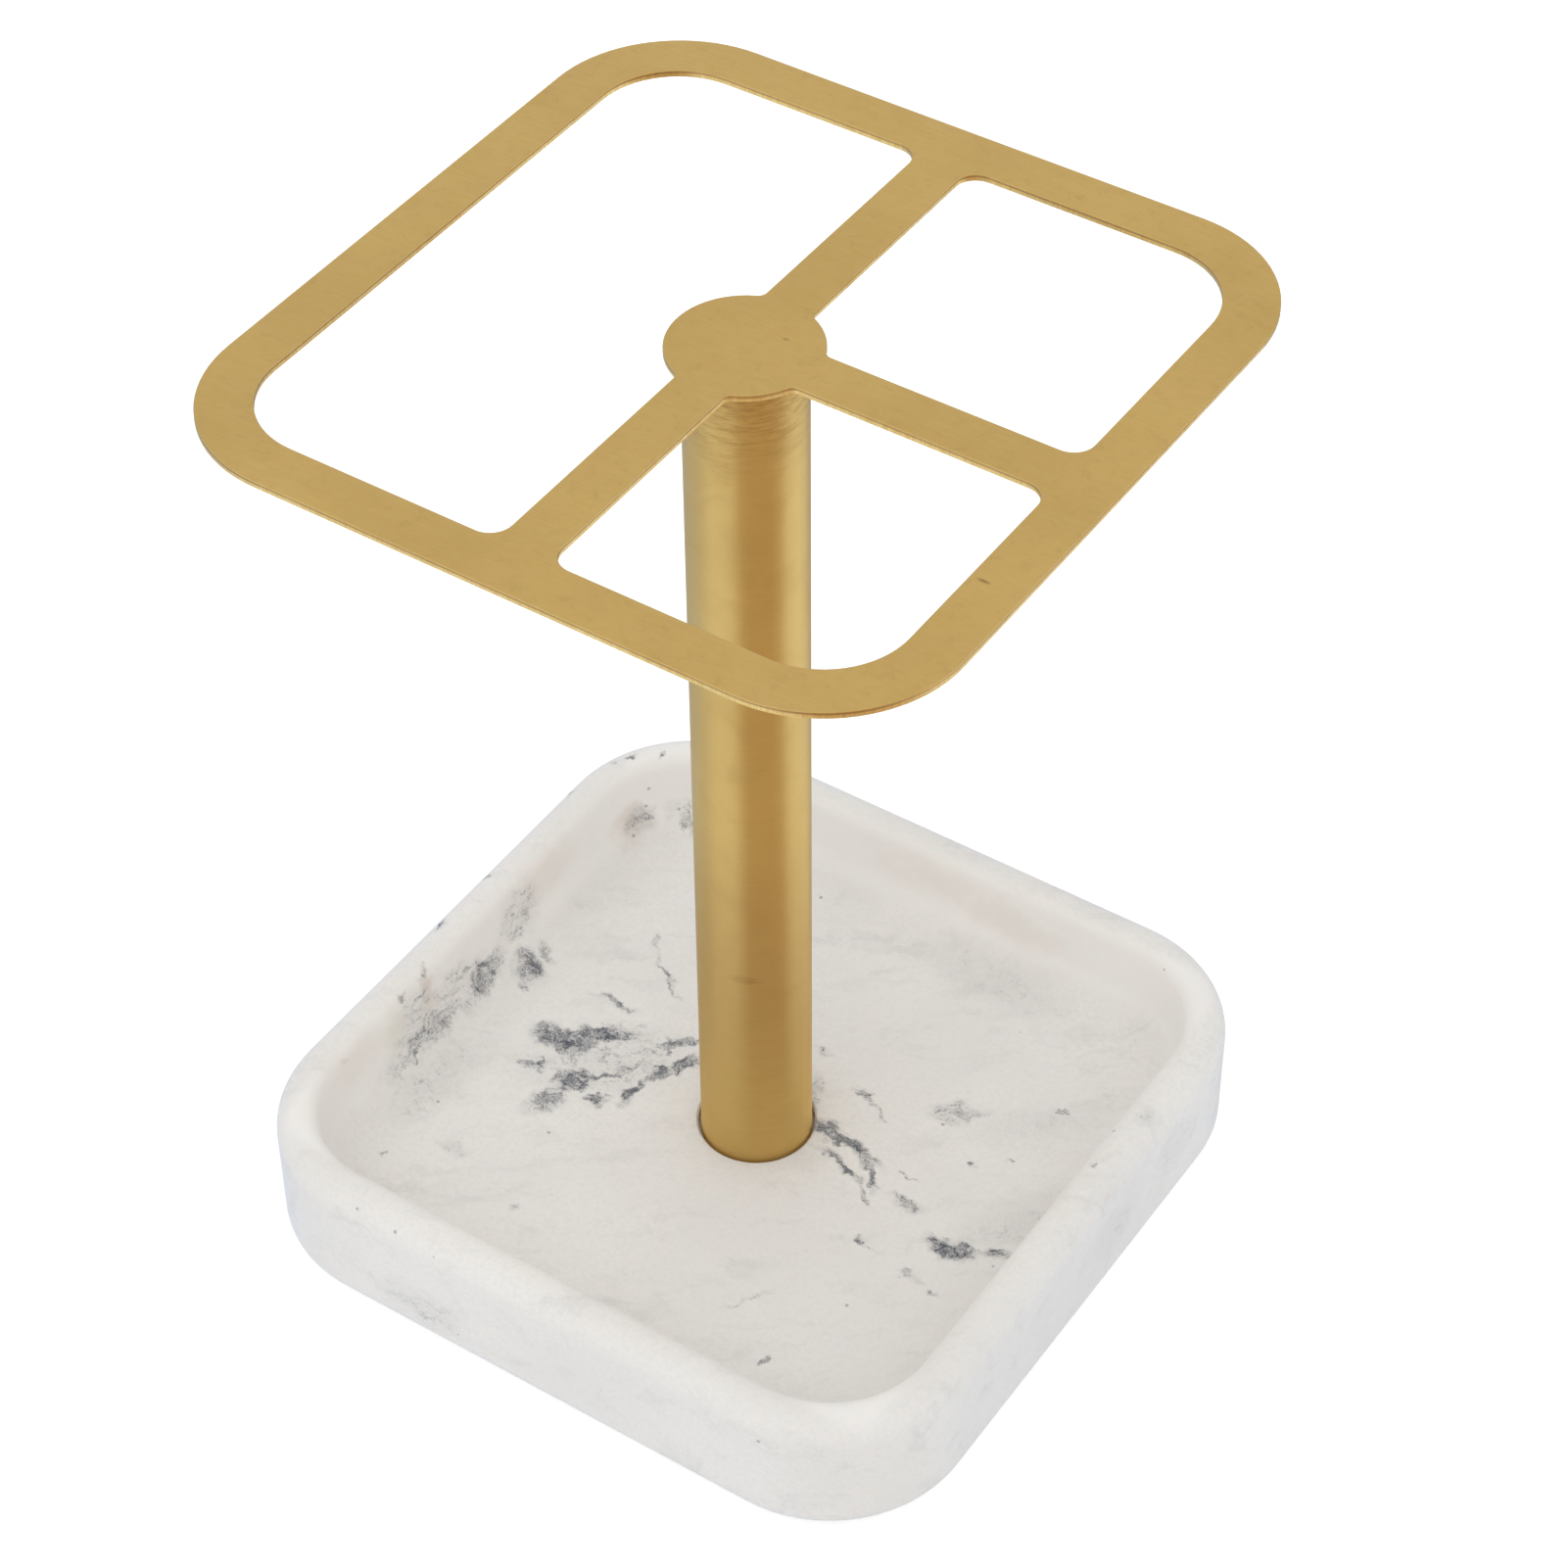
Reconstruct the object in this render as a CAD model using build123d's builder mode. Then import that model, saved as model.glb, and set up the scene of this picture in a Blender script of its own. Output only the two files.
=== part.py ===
"""Counter-top razor stand: a cast resin dish, a brushed tube post and a thin laser-cut rack plate.

Millimetres, +Z up. The origin is on the post's axis at the level the foot pads stand on. The rack's long
spoke runs along Y and its short spoke runs from the hub towards +X.
"""

import os

from build123d import *

# ---- Driving dimensions -------------------------------------------------------------------------------

# whole stand
overall_height = 148.8

# dish base, cast in marble-look resin
base_length = 110.0
base_width = 108.0
base_corner_radius = 21.0
base_height = 21.5
base_bottom_radius = 3.5
rim_width = 5.8
rim_outer_radius = 3.6
rim_inner_radius = 2.1
well_draft = 5.0
well_floor_radius = 6.0
floor_thickness = 7.8

# post tube and its seat in the dish
tube_radius = 8.0
tube_wall = 1.0
tube_end_chamfer = 0.25
seat_depth = 2.0
seat_clearance = 0.45
seat_edge_chamfer = 0.3

# rack plate
rack_length = 105.0
rack_width = 106.0
rack_thickness = 1.0
rack_corner_radius = 18.7
rack_frame_width = 7.2
spoke_width = 7.2
spoke_end_radius = 3.0
hub_overhang = 2.0
hub_spoke_radius = 1.3
rack_edge_break = 0.15

# threaded plugs pressed into both ends of the tube
top_plug_length = 10.0
bottom_plug_length = 12.0
plug_chamfer = 0.4

# M5 stud welded under the hub
stud_radius = 2.5
stud_length = 8.0
stud_flange_radius = 3.4
stud_flange_height = 0.8
stud_flange_clearance = 0.2
thread_chamfer = 0.5

# M5 button head screw and its washer, from below
screw_radius = 2.5
screw_length = 12.0
screw_head_radius = 4.75
screw_head_height = 2.75
screw_head_rim = 0.6
screw_head_crown = 0.6
screw_head_face_radius = 2.25
screw_socket_width = 3.0
screw_socket_depth = 1.6
screw_hole_clearance = 0.3
washer_radius = 7.5
washer_thickness = 1.2
washer_hole_clearance = 0.15
washer_chamfer = 0.15
head_recess_side_clearance = 0.5
head_recess_end_clearance = 0.05

# stick-on foot pads
pad_radius = 6.0
pad_thickness = 2.0
pad_recess_depth = 1.0
pad_recess_clearance = 0.3
pad_inset = 17.0
pad_edge_radius = 0.5

# how far a corner or face may lie from its place and still be picked there
picking_tolerance = 0.001

# ---- Sizes that follow from them ----------------------------------------------------------------------

base_bottom = pad_thickness - pad_recess_depth
rim_top = base_bottom + base_height
floor_top = base_bottom + floor_thickness
seat_bottom = floor_top - seat_depth
rack_top = overall_height
rack_bottom = rack_top - rack_thickness
tube_length = rack_bottom - seat_bottom
tube_bore_radius = tube_radius - tube_wall
hub_radius = tube_radius + hub_overhang
head_recess_depth = washer_thickness + screw_head_height + head_recess_end_clearance
head_recess_top = base_bottom + head_recess_depth
washer_bottom = head_recess_top - washer_thickness
screw_head_bottom = washer_bottom - screw_head_height

# ---- Dish base ----------------------------------------------------------------------------------------

with BuildPart() as dish_base:
    with BuildSketch(Plane.XY.offset(base_bottom)):
        RectangleRounded(base_length, base_width, base_corner_radius)
    extrude(amount=base_height)
    fillet(dish_base.faces().sort_by(Axis.Z)[0].edges(), base_bottom_radius)
    # the well narrows downwards by its draft, so it is drawn at the rim and cut down to the floor
    with BuildSketch(Plane.XY.offset(rim_top)):
        RectangleRounded(
            base_length - 2 * rim_width,
            base_width - 2 * rim_width,
            base_corner_radius - rim_width,
        )
    extrude(amount=floor_top - rim_top, taper=well_draft, mode=Mode.SUBTRACT)
    well_floor = dish_base.faces().filter_by(Plane.XY).filter_by_position(
        Axis.Z, floor_top - picking_tolerance, floor_top + picking_tolerance
    )[0]
    fillet(well_floor.edges(), well_floor_radius)
    rim_face = dish_base.faces().sort_by(Axis.Z)[-1]
    fillet(rim_face.inner_wires()[0].edges(), rim_inner_radius)
    rim_face = dish_base.faces().filter_by(Plane.XY).sort_by(Axis.Z)[-1]
    fillet(rim_face.outer_wire().edges(), rim_outer_radius)
    # seat for the post, with the screw's hole through the web below it
    with Locations(Plane.XY.offset(floor_top)):
        CounterBoreHole(
            radius=screw_radius + screw_hole_clearance,
            counter_bore_radius=tube_radius + seat_clearance,
            counter_bore_depth=seat_depth,
        )
    seat_mouth = dish_base.edges().filter_by(GeomType.CIRCLE).filter_by_position(
        Axis.Z, floor_top - picking_tolerance, floor_top + picking_tolerance
    )
    chamfer(seat_mouth, seat_edge_chamfer)
    # recess for the screw's head and washer
    with BuildSketch(Plane.XY.offset(base_bottom)):
        Circle(washer_radius + head_recess_side_clearance)
    extrude(amount=head_recess_depth, mode=Mode.SUBTRACT)
    # recesses for the foot pads
    with BuildSketch(Plane.XY.offset(base_bottom)):
        with GridLocations(base_length - 2 * pad_inset, base_width - 2 * pad_inset, 2, 2):
            Circle(pad_radius + pad_recess_clearance)
    extrude(amount=pad_recess_depth, mode=Mode.SUBTRACT)
dish_base.part.label = "dish_base"

# ---- Post tube ----------------------------------------------------------------------------------------

with BuildPart() as post_tube:
    with BuildSketch(Plane.XY.offset(seat_bottom)):
        Circle(tube_radius)
        Circle(tube_bore_radius, mode=Mode.SUBTRACT)
    extrude(amount=tube_length)
    tube_end_rings = post_tube.edges().filter_by(GeomType.CIRCLE).group_by(SortBy.RADIUS)[-1]
    chamfer(tube_end_rings, tube_end_chamfer)
post_tube.part.label = "post_tube"

# ---- Rack plate ---------------------------------------------------------------------------------------

opening_half_length = rack_length / 2 - rack_frame_width
opening_half_width = rack_width / 2 - rack_frame_width


def is_hub_corner(vertex):
    """A corner where a spoke meets the hub disc."""
    return abs(Vector(vertex.X, vertex.Y).length - hub_radius) < picking_tolerance


def is_spoke_end_corner(vertex):
    """A corner where a spoke meets the frame."""
    on_long_spoke = (
        abs(abs(vertex.X) - spoke_width / 2) < picking_tolerance
        and abs(abs(vertex.Y) - opening_half_width) < picking_tolerance
    )
    on_short_spoke = (
        abs(abs(vertex.Y) - spoke_width / 2) < picking_tolerance
        and abs(vertex.X - opening_half_length) < picking_tolerance
    )
    return on_long_spoke or on_short_spoke


with BuildPart() as rack_plate:
    with BuildSketch(Plane.XY.offset(rack_bottom)) as rack_outline:
        RectangleRounded(rack_length, rack_width, rack_corner_radius)
        RectangleRounded(
            2 * opening_half_length,
            2 * opening_half_width,
            rack_corner_radius - rack_frame_width,
            mode=Mode.SUBTRACT,
        )
        Rectangle(spoke_width, rack_width - rack_frame_width)
        Rectangle(
            (rack_length - rack_frame_width) / 2,
            spoke_width,
            align=(Align.MIN, Align.CENTER),
        )
        Circle(hub_radius)
        fillet(rack_outline.vertices().filter_by(is_spoke_end_corner), spoke_end_radius)
        fillet(rack_outline.vertices().filter_by(is_hub_corner), hub_spoke_radius)
    extrude(amount=rack_thickness)
    fillet(rack_plate.faces().filter_by(Plane.XY).edges(), rack_edge_break)
rack_plate.part.label = "rack_plate"

# ---- Stud welded under the hub ------------------------------------------------------------------------

with BuildPart() as plate_stud:
    with BuildSketch(Plane.XY.offset(rack_bottom)):
        Circle(stud_flange_radius)
    extrude(amount=-stud_flange_height)
    with BuildSketch(Plane.XY.offset(rack_bottom)):
        Circle(stud_radius)
    extrude(amount=-stud_length)
    chamfer(plate_stud.faces().sort_by(Axis.Z)[0].edges(), thread_chamfer)
plate_stud.part.label = "plate_stud"

# ---- Plugs in the tube's ends -------------------------------------------------------------------------

with BuildPart() as top_plug:
    with BuildSketch(Plane.XY.offset(rack_bottom)):
        Circle(tube_bore_radius)
        Circle(stud_radius, mode=Mode.SUBTRACT)
    extrude(amount=-top_plug_length)
    with BuildSketch(Plane.XY.offset(rack_bottom)):
        Circle(stud_flange_radius + stud_flange_clearance)
    extrude(amount=-(stud_flange_height + stud_flange_clearance), mode=Mode.SUBTRACT)
    chamfer(top_plug.faces().sort_by(Axis.Z)[0].outer_wire().edges(), plug_chamfer)
top_plug.part.label = "top_plug"

with BuildPart() as bottom_plug:
    with BuildSketch(Plane.XY.offset(seat_bottom)):
        Circle(tube_bore_radius)
        Circle(screw_radius, mode=Mode.SUBTRACT)
    extrude(amount=bottom_plug_length)
    chamfer(bottom_plug.faces().sort_by(Axis.Z)[-1].outer_wire().edges(), plug_chamfer)
bottom_plug.part.label = "bottom_plug"

# ---- Base screw and washer ----------------------------------------------------------------------------

with BuildPart() as base_screw:
    # half section, on the axis: shank up to its tip, button head below the washer
    with BuildSketch(Plane.XZ):
        with BuildLine():
            Polyline(
                (0, screw_head_bottom),
                (0, washer_bottom + screw_length),
                (screw_radius - thread_chamfer, washer_bottom + screw_length),
                (screw_radius, washer_bottom + screw_length - thread_chamfer),
                (screw_radius, washer_bottom),
                (screw_head_radius, washer_bottom),
                (screw_head_radius, washer_bottom - screw_head_rim),
            )
            SagittaArc(
                (screw_head_radius, washer_bottom - screw_head_rim),
                (screw_head_face_radius, screw_head_bottom),
                screw_head_crown,
            )
            Line((screw_head_face_radius, screw_head_bottom), (0, screw_head_bottom))
        make_face()
    revolve(axis=Axis.Z)
    with BuildSketch(Plane.XY.offset(screw_head_bottom)):
        RegularPolygon(radius=screw_socket_width / 2, side_count=6, major_radius=False)
    extrude(amount=screw_socket_depth, mode=Mode.SUBTRACT)
base_screw.part.label = "base_screw"

with BuildPart() as base_washer:
    with BuildSketch(Plane.XY.offset(washer_bottom)):
        Circle(washer_radius)
        Circle(screw_radius + washer_hole_clearance, mode=Mode.SUBTRACT)
    extrude(amount=washer_thickness)
    chamfer(base_washer.faces().sort_by(Axis.Z)[0].outer_wire().edges(), washer_chamfer)
base_washer.part.label = "base_washer"

# ---- Foot pads ----------------------------------------------------------------------------------------

foot_pads = []
for end_name, end_sign in (("front", -1), ("rear", 1)):
    for side_name, side_sign in (("left", -1), ("right", 1)):
        with BuildPart() as foot_pad:
            with BuildSketch(Plane.XY):
                with Locations(
                    (side_sign * (base_length / 2 - pad_inset), end_sign * (base_width / 2 - pad_inset))
                ):
                    Circle(pad_radius)
            extrude(amount=pad_thickness)
            fillet(foot_pad.faces().sort_by(Axis.Z)[0].edges(), pad_edge_radius)
        foot_pad.part.label = f"foot_pad_{end_name}_{side_name}"
        foot_pads.append(foot_pad.part)

# ---- Write one file per piece -------------------------------------------------------------------------

os.makedirs("parts", exist_ok=True)
export_step(dish_base.part, "parts/dish_base.step")
export_step(post_tube.part, "parts/post_tube.step")
export_step(rack_plate.part, "parts/rack_plate.step")
export_step(plate_stud.part, "parts/plate_stud.step")
export_step(top_plug.part, "parts/top_plug.step")
export_step(bottom_plug.part, "parts/bottom_plug.step")
export_step(base_screw.part, "parts/base_screw.step")
export_step(base_washer.part, "parts/base_washer.step")
for foot_pad_part in foot_pads:
    export_step(foot_pad_part, f"parts/{foot_pad_part.label}.step")
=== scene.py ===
"""Razor stand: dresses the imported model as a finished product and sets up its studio.

Every length below is in millimetres unless its name says otherwise; the scene itself is in metres.
"""

import logging
import math
from dataclasses import dataclass
from enum import Enum
from typing import Sequence, Union

import bpy
from mathutils import Matrix, Vector


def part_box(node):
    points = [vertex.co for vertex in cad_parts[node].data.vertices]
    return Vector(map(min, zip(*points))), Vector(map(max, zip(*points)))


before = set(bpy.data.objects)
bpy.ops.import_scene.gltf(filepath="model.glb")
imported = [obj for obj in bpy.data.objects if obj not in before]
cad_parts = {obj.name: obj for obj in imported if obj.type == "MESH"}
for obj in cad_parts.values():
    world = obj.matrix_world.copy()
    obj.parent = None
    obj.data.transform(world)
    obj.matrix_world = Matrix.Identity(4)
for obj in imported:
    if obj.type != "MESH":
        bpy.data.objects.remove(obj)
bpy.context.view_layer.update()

LOG = logging.getLogger("razor_stand")
MM = 0.001
Band = tuple[float, float]
Colour = tuple[float, float, float]
Triple = tuple[float, float, float]
Socket = bpy.types.NodeSocket
Value = Union[float, Sequence[float], Socket]


class GrainRun(Enum):
    """Which way a brushed metal piece was brushed."""

    STRAIGHT = "straight"
    ROUND = "round"


# ---- Wiring helpers ----


class Bench:
    """A node tree on the bench: adds nodes and wires them together."""

    def __init__(self, tree: bpy.types.NodeTree) -> None:
        """Keeps the tree that is being built."""
        self.tree = tree

    def node(self, kind: str, **settings: object) -> bpy.types.Node:
        """Adds one node.

        Args:
            kind: the node's type name, such as ShaderNodeMath.
            settings: attributes to set on it.

        Returns:
            The new node.
        """
        made = self.tree.nodes.new(kind)
        for name, setting in settings.items():
            setattr(made, name, setting)
        return made

    def feed(self, socket: Socket, value: Value) -> None:
        """Links a socket to another, or sets it to a plain value.

        Args:
            socket: the input to feed.
            value: an output socket, a number or a row of numbers.
        """
        if isinstance(value, Socket):
            self.tree.links.new(value, socket)
        else:
            socket.default_value = value

    def fill(self, node: bpy.types.Node, **inputs: Value) -> bpy.types.Node:
        """Feeds a node's inputs.

        Args:
            node: the node to feed.
            inputs: values by input name, with underscores for spaces.

        Returns:
            The node.
        """
        for name, value in inputs.items():
            self.feed(node.inputs[name.replace("_", " ")], value)
        return node

    def maths(self, operation: str, *values: Value) -> Socket:
        """One step of arithmetic.

        Args:
            operation: the Math node's operation.
            values: its inputs in order.

        Returns:
            The result's socket.
        """
        made = self.node("ShaderNodeMath", operation=operation)
        for socket, value in zip(made.inputs, values):
            self.feed(socket, value)
        return made.outputs[0]

    def times(self, first: Value, second: Value) -> Socket:
        """Multiplies two numbers."""
        return self.maths("MULTIPLY", first, second)

    def plus(self, first: Value, second: Value) -> Socket:
        """Adds two numbers."""
        return self.maths("ADD", first, second)

    def vector(self, operation: str, *values: Value) -> Socket:
        """One step of vector arithmetic.

        Args:
            operation: the Vector Math node's operation.
            values: its inputs in order.

        Returns:
            The socket of the resulting vector, or of the number where the operation gives one.
        """
        made = self.node("ShaderNodeVectorMath", operation=operation)
        for socket, value in zip(made.inputs, values):
            self.feed(socket, value)
        return made.outputs["Value" if operation == "LENGTH" else "Vector"]

    def scaled(self, value: Value, factor: Value) -> Socket:
        """Multiplies a vector by a number."""
        made = self.node("ShaderNodeVectorMath", operation="SCALE")
        return self.fill(made, Vector=value, Scale=factor).outputs["Vector"]

    def turned(self, value: Value, angle: Value) -> Socket:
        """Turns a vector about Z, by an angle in radians."""
        made = self.node("ShaderNodeVectorRotate", rotation_type="Z_AXIS")
        return self.fill(made, Vector=value, Angle=angle).outputs[0]

    def split(self, value: Value) -> tuple[Socket, ...]:
        """Takes a vector apart.

        Args:
            value: the vector.

        Returns:
            The sockets of its three numbers.
        """
        made = self.node("ShaderNodeSeparateXYZ")
        self.feed(made.inputs[0], value)
        return tuple(made.outputs)

    def join(self, x: Value, y: Value, z: Value) -> Socket:
        """Makes a vector.

        Args:
            x: its first number.
            y: its second number.
            z: its third number.

        Returns:
            The vector's socket.
        """
        made = self.node("ShaderNodeCombineXYZ")
        for socket, value in zip(made.inputs, (x, y, z)):
            self.feed(socket, value)
        return made.outputs[0]

    def remap(
        self,
        value: Value,
        low: Value,
        high: Value,
        to_low: Value = 0.0,
        to_high: Value = 1.0,
        smooth: bool = True,
    ) -> Socket:
        """Maps one range of numbers to another, clamped.

        Args:
            value: the number to map.
            low: where the first range starts.
            high: where it ends.
            to_low: the result at low.
            to_high: the result at high.
            smooth: ease in and out of the range.

        Returns:
            The result's socket.
        """
        kind = "SMOOTHSTEP" if smooth else "LINEAR"
        made = self.node("ShaderNodeMapRange", interpolation_type=kind)
        self.fill(made, Value=value, From_Min=low, From_Max=high, To_Min=to_low, To_Max=to_high)
        return made.outputs["Result"]

    def noise(
        self,
        place: Value,
        scale: Value = 1.0,
        detail: float = 3.0,
        roughness: float = 0.55,
        distortion: float = 0.0,
        output: str = "Fac",
    ) -> Socket:
        """A noise pattern.

        Args:
            place: the coordinates it reads.
            scale: cycles for each unit of place.
            detail: how many finer layers it has.
            roughness: how strong the finer layers are.
            distortion: how far it warps itself.
            output: Fac for one number, Color for three.

        Returns:
            The pattern's socket.
        """
        made = self.node("ShaderNodeTexNoise")
        self.fill(made, Vector=place, Scale=scale, Detail=detail, Roughness=roughness, Distortion=distortion)
        return made.outputs[output]

    def mix(self, share: Value, below: Value, above: Value) -> Socket:
        """Mixes two colours.

        Args:
            share: how much of the upper colour shows.
            below: the lower colour.
            above: the upper colour.

        Returns:
            The mixed colour's socket.
        """
        made = self.node("ShaderNodeMix", data_type="RGBA")
        colour_inputs = [socket for socket in made.inputs if socket.type == "RGBA"]
        self.feed(made.inputs[0], share)
        for socket, value in zip(colour_inputs, (below, above)):
            self.feed(socket, (*value, 1.0) if isinstance(value, tuple) else value)
        return next(socket for socket in made.outputs if socket.type == "RGBA")

    def place(self) -> Socket:
        """The object's own coordinates, in millimetres."""
        coordinates = self.node("ShaderNodeTexCoord")
        return self.scaled(coordinates.outputs["Object"], 1.0 / MM)

    def group(self, tree: bpy.types.NodeTree, **inputs: Value) -> bpy.types.Node:
        """Places a shared group and feeds its inputs as fill does."""
        return self.fill(self.node("ShaderNodeGroup", node_tree=tree), **inputs)


class SharedGroup:
    """A shader group that is built once and then placed wherever a finish needs it."""

    title: str = ""
    takes: tuple[tuple[str, str, object], ...] = ()
    gives: tuple[str, ...] = ()
    kinds = {"number": "NodeSocketFloat", "vector": "NodeSocketVector"}

    @classmethod
    def tree(cls) -> bpy.types.NodeTree:
        """The group's tree, made on first use.

        Returns:
            The shader node tree.
        """
        known = bpy.data.node_groups.get(cls.title)
        if known:
            return known
        made = bpy.data.node_groups.new(cls.title, "ShaderNodeTree")
        for name, kind, default in cls.takes:
            socket = made.interface.new_socket(name=name, in_out="INPUT", socket_type=cls.kinds[kind])
            socket.default_value = default
        for name in cls.gives:
            made.interface.new_socket(name=name, in_out="OUTPUT", socket_type=cls.kinds["number"])
        bench = Bench(made)
        inside = bench.node("NodeGroupInput")
        results = cls.wire(bench, {socket.name: socket for socket in inside.outputs if socket.name})
        outside = bench.node("NodeGroupOutput")
        for name, result in results.items():
            bench.feed(outside.inputs[name], result)
        return made

    @classmethod
    def wire(cls, bench: Bench, given: dict[str, Socket]) -> dict[str, Socket]:
        """Builds the inside of the group, from input sockets by name to output sockets by name."""
        raise NotImplementedError


class BrushedGrain(SharedGroup):
    """Fine parallel lines left by a brushing belt, with a few deeper scratches."""

    title = "Brushed grain"
    takes = (
        ("Place", "vector", (0.0, 0.0, 0.0)),
        ("Lines", "vector", (0.05, 6.0, 1.0)),
        ("Scratch lines", "vector", (0.03, 1.4, 1.0)),
    )
    gives = ("Shade", "Scratches", "Height")
    fine_share = 0.65
    wide_scale = 0.3
    scratch_band: Band = (0.66, 0.74)
    scratch_depth = 0.6

    @classmethod
    def wire(cls, bench: Bench, given: dict[str, Socket]) -> dict[str, Socket]:
        """Builds the inside of the group.

        Args:
            bench: the group's own bench.
            given: the input sockets by name.

        Returns:
            The output sockets by name.
        """
        stretched = bench.vector("MULTIPLY", given["Place"], given["Lines"])
        fine = bench.noise(stretched, detail=4.0, roughness=0.62)
        wide = bench.noise(stretched, cls.wide_scale, detail=2.0, roughness=0.5)
        wide_part = bench.times(wide, 1.0 - cls.fine_share)
        shade = bench.plus(bench.times(fine, cls.fine_share), wide_part)
        scratch_place = bench.vector("MULTIPLY", given["Place"], given["Scratch lines"])
        scratch_field = bench.noise(scratch_place, detail=5.0, roughness=0.8)
        scratches = bench.remap(scratch_field, *cls.scratch_band)
        height = bench.maths("SUBTRACT", fine, bench.times(scratches, cls.scratch_depth))
        return {"Shade": shade, "Scratches": scratches, "Height": height}


class Patina(SharedGroup):
    """Slow changes across a handled surface: faint wiping marks and cloudy patches."""

    title = "Patina"
    takes = (("Place", "vector", (0.0, 0.0, 0.0)), ("Patch size", "number", 30.0))
    gives = ("Cloud", "Wipes")
    wipes_per_patch = 3.5
    wipe_band: Band = (0.45, 0.7)

    @classmethod
    def wire(cls, bench: Bench, given: dict[str, Socket]) -> dict[str, Socket]:
        """Builds the inside of the group.

        Args:
            bench: the group's own bench.
            given: the input sockets by name.

        Returns:
            The output sockets by name.
        """
        patches = bench.maths("DIVIDE", 1.0, given["Patch size"])
        cloud = bench.noise(given["Place"], patches, roughness=0.5)
        finer = bench.times(patches, cls.wipes_per_patch)
        wipes = bench.noise(given["Place"], finer, detail=4.0, roughness=0.6, distortion=0.8)
        return {"Cloud": cloud, "Wipes": bench.remap(wipes, *cls.wipe_band)}


class SpotCover(SharedGroup):
    """One soft oval spot on a piece, laid over the spots before it."""

    title = "Spot cover"
    takes = (
        ("Place", "vector", (0.0, 0.0, 0.0)),
        ("Centre", "vector", (0.0, 0.0, 0.0)),
        ("Turn", "number", 0.0),
        ("Reach", "vector", (5.0, 2.0, 3.0)),
        ("Strength", "number", 1.0),
        ("Cover so far", "number", 0.0),
    )
    gives = ("Cover",)
    edge_band: Band = (1.25, 0.25)

    @classmethod
    def wire(cls, bench: Bench, given: dict[str, Socket]) -> dict[str, Socket]:
        """Builds the inside of the group.

        Args:
            bench: the group's own bench.
            given: the input sockets by name.

        Returns:
            The output sockets by name.
        """
        offset = bench.vector("SUBTRACT", given["Place"], given["Centre"])
        along_spot = bench.turned(offset, bench.times(given["Turn"], -1.0))
        distance = bench.vector("LENGTH", bench.vector("DIVIDE", along_spot, given["Reach"]))
        spot = bench.remap(distance, *cls.edge_band, 0.0, given["Strength"])
        return {"Cover": bench.maths("MAXIMUM", spot, given["Cover so far"])}


@dataclass(frozen=True)
class Spot:
    """Where one vein, stain or dent lies.

    Attributes:
        centre: its middle.
        reach: half its size along, across and up.
        turn: how far it is turned from +X, in degrees.
        strength: how much it shows, from 0 to 1.
    """

    centre: Triple
    reach: Triple
    turn: float = 0.0
    strength: float = 1.0


def lay_spots(bench: Bench, place: Value, spots: Sequence[Spot]) -> Value:
    """Lays spots over each other.

    Args:
        bench: the material's bench.
        place: the coordinates, in millimetres.
        spots: the spots to lay.

    Returns:
        How strongly any spot covers each point.
    """
    cover: Value = 0.0
    for spot in spots:
        laid = bench.group(
            SpotCover.tree(),
            Place=place,
            Centre=spot.centre,
            Turn=math.radians(spot.turn),
            Reach=spot.reach,
            Strength=spot.strength,
            Cover_so_far=cover,
        )
        cover = laid.outputs["Cover"]
    return cover


def new_material(name: str) -> tuple[bpy.types.Material, Bench, bpy.types.Node]:
    """A material with an empty Principled shader.

    Args:
        name: the material's name.

    Returns:
        The material, its bench and its Principled node.
    """
    material = bpy.data.materials.new(name)
    material.use_nodes = True
    shader = material.node_tree.nodes["Principled BSDF"]
    return material, Bench(material.node_tree), shader


def add_bump(bench: Bench, shader: bpy.types.Node, height: Value, depth: float) -> None:
    """Gives a shader a relief.

    Args:
        bench: the material's bench.
        shader: its Principled node.
        height: the relief, from 0 to 1.
        depth: how high 1 stands.
    """
    bump = bench.fill(bench.node("ShaderNodeBump"), Height=height, Distance=depth * MM, Strength=1.0)
    bench.feed(shader.inputs["Normal"], bump.outputs[0])


# ---- Brushed gold ----


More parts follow.
